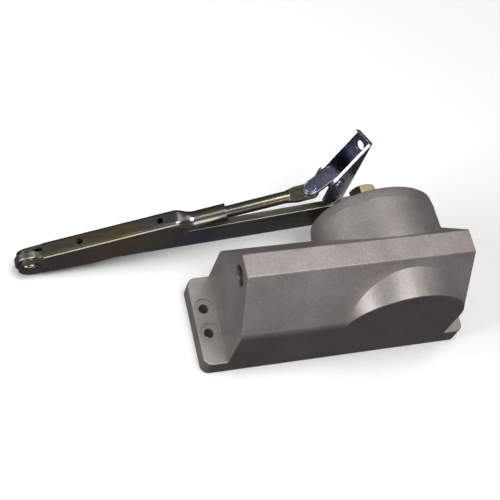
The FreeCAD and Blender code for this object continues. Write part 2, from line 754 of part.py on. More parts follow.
def make_piston():
    """A round piston whose upper half runs on as a rack over the pinion."""
    frame = bore_frame()
    body = new_body("piston", frame)
    rack_end = "(spindle_offset + gear_module * 1.82)"
    pad(body, "YZ_Plane", circles=[(("0", "0"), PISTON_RADIUS)],
        length=f"{rack_end} - piston_start", offset=("0", "0", "piston_start"))
    below = rectangle(PISTON_END, "-bore_radius - 1", f"{rack_end} + 1", "-gear_module")
    pocket(body, "XZ_Plane", below, middle=True)
    for side in (-1, 1):
        beside = rectangle(PISTON_END, f"{side} * ({PINION_SIDE} - 0.2)",
                           f"{rack_end} + 1", f"{side} * (bore_radius + 1)")
        pocket(body, "XY_Plane", beside, middle=True)
    pitch_step = f"(gear_module * {math.pi:.6f})"
    gap_root = "gear_module * 1.25"
    gap = [
        ("spindle_offset - gear_module * 1.30", "-gear_module * 1.02"),
        ("spindle_offset - gear_module * 0.50", gap_root),
        ("spindle_offset + gear_module * 0.50", gap_root),
        ("spindle_offset + gear_module * 1.30", "-gear_module * 1.02"),
    ]
    first = pocket(body, "XZ_Plane", gap, middle=True)
    row = repeat_along(body, first, "X_Axis", f"{pitch_step} * (rack_teeth - 1)", "rack_teeth")
    row.Reversed = True
    ring_start = "(piston_start + 8)"
    groove = rectangle(ring_start, "bore_radius - ring_depth - running_gap",
                       f"{ring_start} + ring_width", "bore_radius + 1")
    turn(body, groove, "Groove", "XZ_Plane", "H_Axis")
    valve = [
        ("piston_start - 1", "0"), ("piston_start - 1", "check_bore"), ("piston_start + 12", "check_bore"),
        ("piston_start + 14", "check_way"), (f"{PISTON_END} + 1", "check_way"), (f"{PISTON_END} + 1", "0"),
    ]
    turn(body, valve, "Groove", "XZ_Plane", "H_Axis")
    seal = new_body("piston_ring", frame)
    turn(seal, rectangle(f"{ring_start} + 0.1", "bore_radius - ring_depth - running_gap",
                         f"{ring_start} + ring_width - 0.1", PISTON_RADIUS), axis="H_Axis")
    mouth = size("check_ball_radius") - 0.6
    lift = math.sqrt(size("check_ball_radius") ** 2 - mouth ** 2) + 0.03
    place = Vector(size("piston_start") + 5 + lift, 0, 0)
    ball_frame = frame.multiply(FreeCAD.Placement(place, FreeCAD.Rotation()))
    ball = doc.addObject("Part::Sphere", "check_ball")
    ball.Label = "check_ball"
    ball.setExpression("Radius", formula("check_ball_radius"))
    ball.Placement = ball_frame
    pieces.append(ball)
    seat = new_body("check_seat", frame)
    outline = [
        ("piston_start", "check_way"), ("piston_start", "check_bore"),
        ("piston_start + 5", "check_bore"), ("piston_start + 5", "check_ball_radius - 0.6"),
        ("piston_start + 4", "check_way"),
    ]
    turn(seat, outline, axis="H_Axis")


# ---------------------------------------------------------------- arms, link and foot

def make_main_arm():
    body = new_body("main_arm", ARM)
    outline = [
        ("0", "-arm_root_width / 2"), ("arm_length", "-arm_eye_radius"),
        ("arm_length", "arm_tip_width / 2"), ("0", "arm_root_width / 2"),
    ]
    pad(body, "XY_Plane", outline, length="arm_thickness")
    pad(body, "XY_Plane", circles=[(("0", "0"), "arm_hub_radius")], length="arm_thickness")
    pad(body, "XY_Plane", circles=[(("arm_length", "0"), "arm_eye_radius")], length="arm_thickness")
    reach = "(square_size / 2 + 0.05) * sqrt(2)"
    turns = [f"(arm_angle + {45 + 90 * step})" for step in range(4)]
    pocket(body, "XY_Plane", [(f"{reach} * cos({turn})", f"{reach} * sin({turn})") for turn in turns],
           middle=True)
    pocket(body, "XY_Plane", circles=[(("arm_length", "0"), "elbow_radius + running_gap")], middle=True)
    round_edges(body, "arm_edge", lambda edge: isinstance(edge.Curve, Part.Line)
                and edge.Length > size("arm_length") / 2)


def make_arm_nut():
    ring("arm_washer", SPINDLE, "thread_radius + 0.2", "washer_radius", ARM_TOP, WASHER_TOP)
    body = new_body("arm_nut", SPINDLE)
    pad(body, "XY_Plane", hexagon("nut_size"), length="nut_height", offset=("0", "0", WASHER_TOP))
    bevel = [
        ("nut_size * 0.49", NUT_TOP), ("nut_size * 0.62", NUT_TOP),
        ("nut_size * 0.62", f"{NUT_TOP} - nut_size * 0.065"),
    ]
    turn(body, bevel, "Groove")
    pocket(body, "XY_Plane", circles=[(("0", "0"), "thread_radius + running_gap")], middle=True)


def make_forearm():
    body = new_body("forearm", FOREARM)
    tube_start = "(forearm_length - 10)"
    outline = [
        ("0", "lug_radius"), ("web_start", "forearm_web"), ("forearm_length", "forearm_web"),
        ("forearm_length + 9", "tube_radius - 0.4"), ("forearm_length + 13", "0"),
        ("forearm_length + 9", "-forearm_tail_depth * 0.62"), ("forearm_length + 2", "-forearm_tail_depth"),
        ("forearm_length * 0.38", "-forearm_depth"), ("lug_radius", "-forearm_depth * 0.72"),
        ("0", "-lug_radius"),
    ]
    pad(body, "XY_Plane", outline, length=f"2 * {FOREARM_HALF}", middle=True)
    pad(body, "XY_Plane", circles=[(("0", "0"), "lug_radius")], length=f"2 * {FOREARM_HALF}", middle=True)
    top = size("forearm_web")
    round_edges(body, "forearm_bend", lambda edge: runs_along(edge, Vector(1, 0, 0))
                and abs(edge.CenterOfMass.y - top) < 1e-3)
    slot = [
        ("-lug_radius - 2", "-forearm_depth - 2"), ("forearm_length + 15", "-forearm_depth - 2"),
        ("forearm_length + 15", "-tube_radius - 0.4"), (tube_start, "-tube_radius - 0.4"),
        (tube_start, "forearm_web - forearm_sheet"), ("web_start", "forearm_web - forearm_sheet"),
        ("web_start", "forearm_web + 2"), ("-lug_radius - 2", "forearm_web + 2"),
    ]
    pocket(body, "XY_Plane", slot, length=f"2 * {SLOT_HALF}", middle=True)
    pad(body, "YZ_Plane", circles=[(("0", "0"), "tube_radius")], length=f"tube_end - {tube_start} - 2",
        offset=("0", "0", f"{tube_start} + 2"))
    pocket(body, "YZ_Plane", circles=[(("0", "0"), "rod_radius + running_gap")],
           length=f"tube_end - {tube_start} + 4", offset=("0", "0", "tube_end"))
    pocket(body, "XY_Plane", circles=[(("0", "0"), "elbow_radius")], middle=True)
    holes = [(("first_web_hole", "0"), "web_hole_radius"), (("second_web_hole", "0"), "web_hole_radius")]
    pocket(body, "XZ_Plane", circles=holes, length="2 * forearm_web + 4", middle=True)


def make_elbow():
    rivet = new_body("elbow_rivet", FOREARM)
    face = FOREARM_HALF
    profile = [
        ("0", f"-{face} - elbow_head"), ("elbow_head_radius - 1", f"-{face} - elbow_head"),
        ("elbow_head_radius", f"-{face}"), ("elbow_radius", f"-{face}"), ("elbow_radius", face),
        ("elbow_head_radius", face), ("elbow_head_radius - 1", f"{face} + elbow_head"),
        ("0", f"{face} + elbow_head"),
    ]
    turn(rivet, profile)
    washers = new_body("elbow_washers", FOREARM)
    low = "(arm_thickness / 2 + elbow_play)"
    near = rectangle("elbow_radius + 0.02", low, "lug_radius - 0.4", f"{low} + elbow_washer")
    turn(washers, near)
    far = rectangle("elbow_radius + 0.02", f"-{low} - elbow_washer", "lug_radius - 0.4", f"-{low}")
    turn(washers, far)


def make_rod():
    body = new_body("adjusting_rod", FOREARM)
    pad(body, "YZ_Plane", circles=[(("0", "0"), "rod_radius")], length="palm_start - rod_start",
        offset=("0", "0", "rod_start"))
    half = "palm_width / 2"
    palm = [
        ("palm_start - 5", "-rod_radius * 0.75"), ("palm_start + 4", f"-{half}"), ("forearm_reach", f"-{half}"),
        ("forearm_reach", half), ("palm_start + 4", half), ("palm_start - 5", "rod_radius * 0.75"),
    ]
    pad(body, "XZ_Plane", palm, length="palm_thickness", middle=True)
    pad(body, "XZ_Plane", circles=[(("forearm_reach", "0"), half)], length="palm_thickness", middle=True)
    pocket(body, "XZ_Plane", circles=[(("forearm_reach", "0"), "rivet_radius + running_gap")], middle=True)


def make_link():
    body = new_body("link", LINK)
    half = "palm_width / 2"
    pad(body, "XY_Plane", rectangle("0", f"-{half}", "link_length", half), length="link_sheet",
        offset=("0", "0", LINK_LOW))
    pad(body, "XY_Plane", circles=[(("0", "0"), half)], length="link_sheet", offset=("0", "0", LINK_LOW))
    pad(body, "XZ_Plane", circles=[(("link_length", EYE_HEIGHT), "link_eye_radius")],
        length="palm_width", middle=True)
    pocket(body, "XZ_Plane", circles=[(("link_length", EYE_HEIGHT), "foot_pin_radius + running_gap")],
           middle=True)
    pocket(body, "XY_Plane", circles=[(("0", "0"), "rivet_radius")], middle=True)
    rivet = new_body("link_rivet", LINK)
    tail = "(-palm_thickness / 2 - running_gap)"
    profile = [
        ("0", f"{tail} - rivet_tail"), ("rivet_head_radius - 1.2", f"{tail} - rivet_tail"),
        ("rivet_head_radius", f"{tail} - rivet_tail * 0.5"), ("rivet_head_radius", tail),
        ("rivet_radius", tail), ("rivet_radius", LINK_TOP), ("rivet_head_radius", LINK_TOP),
        ("rivet_head_radius - 0.8", f"{LINK_TOP} + rivet_head"), ("0", f"{LINK_TOP} + rivet_head"),
    ]
    turn(rivet, profile)


def make_foot():
    body = new_body("foot_bracket", FOOT)
    side = [
        ("foot_top", "-foot_back"), ("foot_top", "foot_lip - foot_back"),
        ("foot_nose * 0.85", "foot_nose * 0.55"), ("foot_nose * 0.3", "foot_nose * 0.95"),
        ("-foot_bottom * 0.7", "foot_nose * 0.95"), ("-foot_bottom", "foot_nose * 0.4"),
        ("-foot_bottom", "-foot_back"),
    ]
    pad(body, "XY_Plane", side, length=f"2 * {FOOT_HALF}", middle=True)
    inside = rectangle("-foot_bottom - 1", "foot_sheet - foot_back", "foot_top + 1", "foot_nose + 1")
    back = -size("foot_back")
    round_edges(body, "foot_bend", lambda edge: runs_along(edge, Vector(1, 0, 0))
                and abs(edge.CenterOfMass.y - back) < 1e-3)
    pocket(body, "XY_Plane", inside, length=f"2 * {FOOT_INNER}", middle=True)
    pocket(body, "XY_Plane", circles=[(("0", "0"), "foot_pin_radius")], middle=True)
    screws = [(("foot_top - foot_screw_edge", "0"), "foot_screw_radius"),
              (("-foot_second_screw", "0"), "foot_screw_radius")]
    pocket(body, "XZ_Plane", circles=screws, middle=True)
    pin = new_body("foot_pin", FOOT)
    face = FOOT_HALF
    head = "foot_pin_head_height"
    profile = [
        ("0", f"-{face} - {head}"), ("foot_pin_head - 1", f"-{face} - {head}"),
        ("foot_pin_head", f"-{face}"), ("foot_pin_radius", f"-{face}"), ("foot_pin_radius", face),
        ("foot_pin_head", face), ("foot_pin_head - 1", f"{face} + {head}"), ("0", f"{face} + {head}"),
    ]
    turn(pin, profile)


# ---------------------------------------------------------------- build, check and write

def check_document():
    """Stop if any object failed, any shape is bad or any cut removed nothing."""
    for item in doc.Objects:
        if "Invalid" in item.State or "Error" in item.State:
            raise RuntimeError(f"{item.Name} ({item.Label}) is {item.State}")
        if item.TypeId in ("PartDesign::Pocket", "PartDesign::Groove"):
            if item.BaseFeature.Shape.Volume - item.Shape.Volume < 1e-3:
                raise RuntimeError(f"{item.Name} cut nothing")
    for piece in pieces:
        if piece.Shape.isNull() or not piece.Shape.isValid():
            raise RuntimeError(f"{piece.Label} has no valid shape")


def write_parts():
    os.makedirs("parts", exist_ok=True)
    for piece in pieces:
        piece.Shape.exportStep(f"parts/{piece.Label}.step")
        print(f"{piece.Label}: {len(piece.Shape.Solids)} solid, {piece.Shape.Volume:.0f} mm3")


make_housing()
make_spring_cover()
make_cylinder_cap()
make_port_screw("speed_valve", "valve_seal", -1, "needle_length")
make_port_screw("filler_plug", "plug_seal", 1, "0")
make_spindle()
make_bearings()
make_arbor()
make_main_spring()
make_piston()
make_main_arm()
make_arm_nut()
make_forearm()
make_elbow()
make_rod()
make_link()
make_foot()
doc.recompute()
check_document()
write_parts()
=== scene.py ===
"""Door closer: finishes, small details and stage around the CAD frame."""
import json
import math

import bmesh
import bpy
from bpy.props import (FloatProperty, FloatVectorProperty, IntProperty, PointerProperty,
                       StringProperty)
from mathutils import Matrix, Vector

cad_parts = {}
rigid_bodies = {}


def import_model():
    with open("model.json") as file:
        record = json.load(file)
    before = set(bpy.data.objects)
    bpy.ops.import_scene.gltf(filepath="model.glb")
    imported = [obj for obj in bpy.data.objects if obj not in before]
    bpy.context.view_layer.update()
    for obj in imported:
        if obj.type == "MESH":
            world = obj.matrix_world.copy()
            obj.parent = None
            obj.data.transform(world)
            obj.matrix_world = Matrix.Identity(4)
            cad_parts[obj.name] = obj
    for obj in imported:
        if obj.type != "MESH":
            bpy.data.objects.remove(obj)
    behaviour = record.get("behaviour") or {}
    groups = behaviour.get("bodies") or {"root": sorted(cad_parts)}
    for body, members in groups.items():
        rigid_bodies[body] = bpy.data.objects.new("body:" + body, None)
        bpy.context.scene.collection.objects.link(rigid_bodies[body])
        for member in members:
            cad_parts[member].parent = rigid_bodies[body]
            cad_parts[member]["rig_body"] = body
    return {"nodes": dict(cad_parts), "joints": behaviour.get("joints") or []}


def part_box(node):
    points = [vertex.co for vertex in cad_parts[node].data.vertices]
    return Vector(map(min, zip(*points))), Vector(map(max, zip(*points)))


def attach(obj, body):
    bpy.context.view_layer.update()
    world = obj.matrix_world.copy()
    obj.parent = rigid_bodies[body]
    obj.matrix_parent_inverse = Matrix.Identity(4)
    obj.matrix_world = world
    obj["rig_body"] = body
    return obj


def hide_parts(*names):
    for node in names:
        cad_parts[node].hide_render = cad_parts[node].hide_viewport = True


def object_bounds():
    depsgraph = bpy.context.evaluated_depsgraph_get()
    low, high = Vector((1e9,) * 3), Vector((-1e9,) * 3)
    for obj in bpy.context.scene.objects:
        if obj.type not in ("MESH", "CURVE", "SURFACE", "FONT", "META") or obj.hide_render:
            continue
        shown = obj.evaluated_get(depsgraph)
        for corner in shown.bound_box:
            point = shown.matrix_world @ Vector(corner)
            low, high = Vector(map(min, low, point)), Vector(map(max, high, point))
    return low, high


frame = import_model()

bl_info = {
    "name": "Door Closer",
    "version": (1, 0, 0),
    "blender": (4, 5, 0),
    "location": "View3D > Sidebar > Door closer",
    "description": "Finishes and details a door closer with a folding arm",
    "category": "Object",
}

CAD_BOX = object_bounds()
NODES = frame["nodes"]
MM = 0.001
SAME_PLACE = 0.02 * MM
# The paint drifts in tone over patches of about 20 mm.
PAINT_CLOUD_SCALE = 0.9 / (20 * MM)
# CAD nodes with broken edges, and the radius of the break in millimetres
EDGE_RADII = (("housing", 0.6), ("foot_bracket", 0.45), ("link", 0.5), ("adjusting_rod", 0.4),
              ("main_arm", 0.4), ("elbow_rivet", 0.4), ("foot_pin", 0.3),
              ("link_rivet", 0.3), ("arm_nut", 0.3), ("spring_cover", 0.5))
# Softboxes: name, watts, width and height, place; all lengths in metres
SOFTBOXES = (
    ("softbox_top", 13.8, (0.8, 0.8), (0.05, -0.10, 1.3)),
    ("softbox_left", 13.5, (0.6, 0.6), (-1.3, -0.02, 0.62)),
    ("softbox_back", 1.4, (0.6, 0.6), (0.60, 0.55, 1.25)),
)
BODY_MIDDLE = (0, 0, 0.04)
# Tones of the room from below (0) to overhead (1), which the shiny pieces reflect
SKY = [(0.15, "#5E5A60"), (0.50, "#3F3C42"), (0.72, "#626162"), (1.0, "#747475")]
SKY_STRENGTH = 0.9


# ---------------------------------------------------------------- small helpers

def linear(text):
    """An sRGB hex colour as linear RGBA."""
    values = [int(text[start:start + 2], 16) / 255 for start in (1, 3, 5)]
    return [v / 12.92 if v <= 0.04045 else ((v + 0.055) / 1.055) ** 2.4 for v in values] + [1.0]


def add_node(tree, kind, settings=None, values=None, links=None):
    """Add a shader node, set its properties and socket values, and link its inputs."""
    node = tree.nodes.new(kind)
    for name, value in (settings or {}).items():
        setattr(node, name, value)
    for name, value in (values or {}).items():
        node.inputs[name].default_value = value
    for name, source in (links or {}).items():
        tree.links.new(source, node.inputs[name])
    return node


def new_material(name):
    """An empty node material and its tree."""
    material = bpy.data.materials.new(name)
    material.use_nodes = True
    material.node_tree.nodes.clear()
    return material, material.node_tree


def dress(material, *names):
    """Give a material to CAD nodes."""
    for name in names:
        mesh = NODES[name].data
        mesh.materials.clear()
        mesh.materials.append(material)


def ramp(tree, source, stops):
    """A colour ramp whose stops are (position, hex colour) pairs."""
    node = add_node(tree, "ShaderNodeValToRGB", links={"Fac": source})
    elements = node.color_ramp.elements
    elements[0].position, elements[0].color = stops[0][0], linear(stops[0][1])
    elements[1].position, elements[1].color = stops[-1][0], linear(stops[-1][1])
    for position, colour in stops[1:-1]:
        elements.new(position).color = linear(colour)
    return node.outputs["Color"]


def scaled(tree, source, low, high):
    """Map a 0 to 1 value onto a range."""
    node = add_node(tree, "ShaderNodeMapRange", values={"To Min": low, "To Max": high},
                    links={"Value": source})
    return node.outputs["Result"]


def finish(tree, shader):
    """Join a shader to the material's output."""
    add_node(tree, "ShaderNodeOutputMaterial", links={"Surface": shader.outputs["BSDF"]})


def object_coordinates(tree):
    """The piece's own coordinates, so that a pattern rides with it."""
    return add_node(tree, "ShaderNodeTexCoord").outputs["Object"]


def stretched(tree, place, angles, scale):
    """Object coordinates turned and then stretched, for streaks along a piece."""
    turned = add_node(tree, "ShaderNodeMapping", {"vector_type": "POINT"},
                      {"Rotation": angles}, {"Vector": place})
    node = add_node(tree, "ShaderNodeMapping", {"vector_type": "POINT"}, {"Scale": scale},
                    {"Vector": turned.outputs["Vector"]})
    return node.outputs["Vector"]


# ---------------------------------------------------------------- settings

class CloserBodyPaint(bpy.types.PropertyGroup):
    """Looks of the sprayed casting"""
    paint: StringProperty(name="Paint", description="Colour of the spray paint", default="#9C9693")
    flake: FloatProperty(name="Flake", description="Width of one grain of the paint",
                         default=0.3 * MM, unit="LENGTH", precision=5)
    roughness: FloatProperty(name="Roughness", description="Roughness of the paint", default=0.40,
                             min=0, max=1)


class CloserArmFinish(bpy.types.PropertyGroup):
    """Looks of the plated arms"""
    yellow: StringProperty(name="Yellow tint", description="Thick passivation", default="#ADA080")
    violet: StringProperty(name="Violet tint", description="Thin passivation", default="#958FA0")
    bar: StringProperty(name="Bar tint", description="Thin passivation on the bar", default="#868B96")
    streak: FloatProperty(name="Streak", description="Distance between rolling streaks",
                          default=0.6 * MM, unit="LENGTH", precision=5)


class CloserForearm(bpy.types.PropertyGroup):
    """Sizes of the pressed forearm, measured from the elbow towards the rod"""
    sheet: FloatProperty(name="Sheet", description="Thickness of the sheet",
                       default=2.6 * MM, unit="LENGTH", precision=5)
    half_width: FloatProperty(name="Half width", description="Half the outside width of the channel",
                       default=6.25 * MM, unit="LENGTH", precision=5)
    web: FloatProperty(name="Web", description="Height of the web over the line of the rod",
                       default=11.7 * MM, unit="LENGTH", precision=5)
    web_start: FloatProperty(name="Web start", description="Elbow to the cut-back end of the web",
                       default=11.9 * MM, unit="LENGTH", precision=5)
    bend: FloatProperty(name="Bend", description="Outside radius of the folds",
                       default=2.6 * MM, unit="LENGTH", precision=5)
    depth: FloatProperty(name="Depth", description="Greatest depth of the cheeks",
                       default=14.5 * MM, unit="LENGTH", precision=5)
    root_depth: FloatProperty(name="Root depth", description="Depth of the cheeks where the web starts",
                       default=10.4 * MM, unit="LENGTH", precision=5)
    tail_depth: FloatProperty(name="Tail depth", description="Depth of the cheeks at the shoulder",
                       default=11.5 * MM, unit="LENGTH", precision=5)
    deepest: FloatProperty(name="Deepest", description="Elbow to the greatest depth",
                       default=40.3 * MM, unit="LENGTH", precision=5)
    shoulder: FloatProperty(name="Shoulder", description="Elbow to where the sheet starts to roll",
                       default=104.0 * MM, unit="LENGTH", precision=5)
    tube: FloatProperty(name="Tube", description="Outside radius of the rolled end",
                       default=6.3 * MM, unit="LENGTH", precision=5)
    tube_wall: FloatProperty(name="Tube wall", description="Thickness of the rolled end",
                       default=1.95 * MM, unit="LENGTH", precision=5)
    tube_start: FloatProperty(name="Tube start", description="Elbow to the full round of the tube",
                       default=117.0 * MM, unit="LENGTH", precision=5)
    length: FloatProperty(name="Length", description="Elbow to the end of the tube",
                       default=139.0 * MM, unit="LENGTH", precision=5)
    lug: FloatProperty(name="Ear", description="Radius of the ears at the elbow",
                       default=8.6 * MM, unit="LENGTH", precision=5)
    web_hole: FloatProperty(name="Web hole", description="Radius of the holes in the web",
                       default=2.2 * MM, unit="LENGTH", precision=5)
    rivet_hole: FloatProperty(name="Rivet hole", description="Radius of the holes in the ears",
                       default=4.5 * MM, unit="LENGTH", precision=5)
    web_holes: FloatVectorProperty(name="Web holes", description="Elbow to each hole in the web",
                                   default=(38.0 * MM, 94.0 * MM), size=2, unit="LENGTH")


class CloserThreads(bpy.types.PropertyGroup):
    """Sizes of the threads that show"""
    port_radius: FloatProperty(name="Port radius", description="Radius of the wall of a port",
                       default=7.5 * MM, unit="LENGTH", precision=5)
    port_depth: FloatProperty(name="Port depth", description="Height of the ridge in a port",
                       default=0.45 * MM, unit="LENGTH", precision=5)
    port_pitch: FloatProperty(name="Port pitch", description="Rise of the port thread in one turn",
                       default=1.25 * MM, unit="LENGTH", precision=5)
    port_start: FloatProperty(name="Port start", description="Middle of the body to the first turn",
                       default=73.6 * MM, unit="LENGTH", precision=5)
    port_turns: IntProperty(name="Port turns", description="Turns that show in a port", default=4, min=1)
    spindle_radius: FloatProperty(name="Spindle radius",
                                  description="Radius of the core of the spindle's end",
                       default=5.9 * MM, unit="LENGTH", precision=5)
    spindle_depth: FloatProperty(name="Spindle depth", description="Height of the ridge on the spindle",
                       default=0.3 * MM, unit="LENGTH", precision=5)
    spindle_pitch: FloatProperty(name="Spindle pitch",
                                 description="Rise of the spindle thread in one turn",
                       default=1.0 * MM, unit="LENGTH", precision=5)
    spindle_start: FloatProperty(name="Spindle start",
                                 description="From the middle plane of the body to the first turn",
                       default=72.4 * MM, unit="LENGTH", precision=5)
    spindle_turns: IntProperty(name="Spindle turns", description="Turns past the nut", default=1, min=1)


class CloserLink(bpy.types.PropertyGroup):
    """Sizes of the arcs stamped in the link"""
    radii: FloatVectorProperty(name="Radii", description="Radius of each arc",
                               default=(4.6 * MM, 3.2 * MM), size=2, unit="LENGTH")
    bead: FloatProperty(name="Bead", description="Radius of the bead", default=0.45 * MM, unit="LENGTH",
                        precision=5)
    height: FloatProperty(name="Height", description="Rod's middle to the top of the link",
                          default=5.05 * MM, unit="LENGTH", precision=5)
    sweep: FloatProperty(name="Sweep", description="Angle that an arc covers",
                         default=math.radians(210), subtype="ANGLE")


class CloserStage(bpy.types.PropertyGroup):
    """Where the camera stands, where it points and its lens"""
    aim: FloatVectorProperty(name="Aim", description="Point in the middle of the picture",
                             default=(-0.050, 0.044, 0.0275), subtype="TRANSLATION", unit="LENGTH")
    azimuth: FloatProperty(name="Azimuth", description="Turn about the vertical", default=-34.8)
    elevation: FloatProperty(name="Elevation", description="Height above the horizon", default=60.1)
    roll: FloatProperty(name="Roll", description="Lean of the camera", default=24.8)
    distance: FloatProperty(name="Distance", description="Camera to aim point", default=0.831,
                            unit="LENGTH")
    lens: FloatProperty(name="Lens", description="Focal length on a 36 mm sensor", default=84.7)


# ---------------------------------------------------------------- finishes

def sprayed_aluminium(paint):
    """Metallic spray paint on die-cast aluminium.

    The pigment is aluminium flake, so it is half metallic with a soft sheen, a fine grain of
    lighter and darker specks and a slightly pebbled surface from the spray gun.
    """
    material, tree = new_material("sprayed_aluminium")
    place = object_coordinates(tree)
    grain = add_node(tree, "ShaderNodeTexNoise", values={"Scale": 0.35 / paint.flake, "Detail": 2.0,
                     "Roughness": 0.6}, links={"Vector": place})
    cloud = add_node(tree, "ShaderNodeTexNoise", links={"Vector": place},
                     values={"Scale": PAINT_CLOUD_SCALE, "Detail": 4.0, "Roughness": 0.55})
    specks = ramp(tree, grain.outputs["Fac"],
                  [(0.30, "#857D7B"), (0.46, paint.paint), (0.58, paint.paint), (0.76, "#B3ADAB")])
    mottle = ramp(tree, cloud.outputs["Fac"], [(0.25, "#D9D6D4"), (0.75, "#FFFFFF")])
    colour = add_node(tree, "ShaderNodeMix", {"data_type": "RGBA", "blend_type": "MULTIPLY"},
                      {"Factor": 1.0}, {6: specks, 7: mottle})
    bump = add_node(tree, "ShaderNodeBump", values={"Strength": 0.25, "Distance": 0.00006},
                    links={"Height": grain.outputs["Fac"]})
    shader = add_node(tree, "ShaderNodeBsdfPrincipled", values={"Metallic": 0.5},
                      links={"Base Color": colour.outputs[2],
                             "Roughness": scaled(tree, cloud.outputs["Fac"], paint.roughness - 0.06,
                                                 paint.roughness + 0.06),
                             "Normal": bump.outputs["Normal"]})
    finish(tree, shader)
    return material


def passivated_steel(name, tints, streak, tilt, rough):
    """Rolled steel, zinc plated and yellow passivated: a hard dark shine whose tint drifts
    between straw and violet, with fine rolling streaks along the piece."""
    material, tree = new_material(name)
    place = object_coordinates(tree)
    tint = add_node(tree, "ShaderNodeTexNoise", values={"Scale": 22.0, "Detail": 3.0, "Roughness": 0.6,
                    "Distortion": 0.4}, links={"Vector": place})
    along = stretched(tree, place, (0, math.radians(tilt), 0), (0.04, 1.0, 1.0))
    streaks = add_node(tree, "ShaderNodeTexNoise", values={"Scale": 1 / streak, "Detail": 3.0},
                       links={"Vector": along})
    colour = ramp(tree, tint.outputs["Fac"],
                  list(zip((0.36, 0.50, 0.62), tints)))
    lines = ramp(tree, streaks.outputs["Fac"], [(0.30, "#CFCDC8"), (0.65, "#FFFFFF")])
    mixed = add_node(tree, "ShaderNodeMix", {"data_type": "RGBA", "blend_type": "MULTIPLY"},
                     {"Factor": 1.0}, {6: colour, 7: lines})
    bump = add_node(tree, "ShaderNodeBump", values={"Strength": 0.2, "Distance": 0.00005},
                    links={"Height": streaks.outputs["Fac"]})
    shader = add_node(tree, "ShaderNodeBsdfPrincipled", values={"Metallic": 1.0},
                      links={"Base Color": mixed.outputs[2],
                             "Roughness": scaled(tree, streaks.outputs["Fac"],
                                                 rough - 0.07, rough + 0.09),
                             "Normal": bump.outputs["Normal"]})
    finish(tree, shader)
    return material


def bright_zinc():
    """Stamped steel with bright blue-white zinc: mirror-like, with cloudy patches and small dents."""
    material, tree = new_material("bright_zinc")
    place = object_coordinates(tree)
    cloud = add_node(tree, "ShaderNodeTexNoise", values={"Scale": 90.0, "Detail": 4.0, "Roughness": 0.6},
                     links={"Vector": place})
    dents = add_node(tree, "ShaderNodeTexNoise", values={"Scale": 260.0, "Detail": 2.0},
                     links={"Vector": place})
    colour = ramp(tree, cloud.outputs["Fac"], [(0.30, "#7A7C98"), (0.52, "#9093A8"), (0.75, "#ACABAE")])
    bump = add_node(tree, "ShaderNodeBump", values={"Strength": 0.25, "Distance": 0.00012},
                    links={"Height": dents.outputs["Fac"]})
    shader = add_node(tree, "ShaderNodeBsdfPrincipled", values={"Metallic": 1.0},
                      links={"Base Color": colour,
                             "Roughness": scaled(tree, cloud.outputs["Fac"], 0.18, 0.36),
                             "Normal": bump.outputs["Normal"]})
    finish(tree, shader)
    return material


def turned_steel(name, centre, axis_turn, base):
    """Free-cutting steel turned on a lathe: fine rings round the axis of the piece."""
    material, tree = new_material(name)
    place = object_coordinates(tree)
    centred = add_node(tree, "ShaderNodeMapping", {"vector_type": "POINT"},
                       {"Location": tuple(-value for value in centre)}, {"Vector": place})
    turned = add_node(tree, "ShaderNodeMapping", {"vector_type": "POINT"}, {"Rotation": axis_turn},
                      {"Vector": centred.outputs["Vector"]})
    rings = add_node(tree, "ShaderNodeTexWave", {"wave_type": "RINGS", "rings_direction": "Z"},
                     {"Scale": 420.0, "Distortion": 0.6, "Detail": 1.0},
                     {"Vector": turned.outputs["Vector"]})
    haze = add_node(tree, "ShaderNodeTexNoise", values={"Scale": 120.0, "Detail": 3.0},
                    links={"Vector": place})
    colour = ramp(tree, haze.outputs["Fac"], [(0.30, "#77787B"), (0.60, base), (0.80, "#B9B8B2")])
    bump = add_node(tree, "ShaderNodeBump", values={"Strength": 0.15, "Distance": 0.00004},
                    links={"Height": rings.outputs["Fac"]})
    shader = add_node(tree, "ShaderNodeBsdfPrincipled", values={"Metallic": 1.0},
                      links={"Base Color": colour,
                             "Roughness": scaled(tree, rings.outputs["Fac"], 0.24, 0.38),
                             "Normal": bump.outputs["Normal"]})
    finish(tree, shader)
    return material


def plain_grained(name, stops, metallic, rough, scale, depth):
    """A cast, sintered or moulded surface with one grain size and a colour that drifts a little."""
    material, tree = new_material(name)
    place = object_coordinates(tree)
    grain = add_node(tree, "ShaderNodeTexNoise", links={"Vector": place},
                     values={"Scale": scale, "Detail": 4.0, "Roughness": 0.6})
    bump = add_node(tree, "ShaderNodeBump", values={"Strength": 0.3, "Distance": depth},
                    links={"Height": grain.outputs["Fac"]})
    shader = add_node(tree, "ShaderNodeBsdfPrincipled", values={"Metallic": metallic},
                      links={"Base Color": ramp(tree, grain.outputs["Fac"], stops),
                             "Roughness": scaled(tree, grain.outputs["Fac"], rough - 0.08, rough + 0.08),
                             "Normal": bump.outputs["Normal"]})
    finish(tree, shader)
    return material


# ---------------------------------------------------------------- modelling helpers

def deselect_all():
    """Leave nothing selected."""
    for item in bpy.context.selected_objects:
        item.select_set(False)


def choose(piece):
    """Select one piece alone and make it active."""
    deselect_all()
    piece.select_set(True)
    bpy.context.view_layer.objects.active = piece


def joint(name):
    """Look up what the frame says about a joint."""
    return next(item for item in frame["joints"] if item["name"] == name)


def keep(piece, name, body, material=None, stands_for=()):
    """Name a finished piece, give it its finish and tie it to its body."""
    piece.name = name
    piece.data.name = name
    if material is not None:
        piece.data.materials.clear()
        piece.data.materials.append(material)
    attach(piece, body)
    if stands_for:
        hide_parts(*stands_for)
    return piece


def add_modifier(piece, kind, **settings):
    """Add a modifier, set it and apply it."""
    choose(piece)
    modifier = piece.modifiers.new(kind.title(), kind)
    for name, value in settings.items():
        setattr(modifier, name, value)
    bpy.ops.object.modifier_apply(modifier=modifier.name)


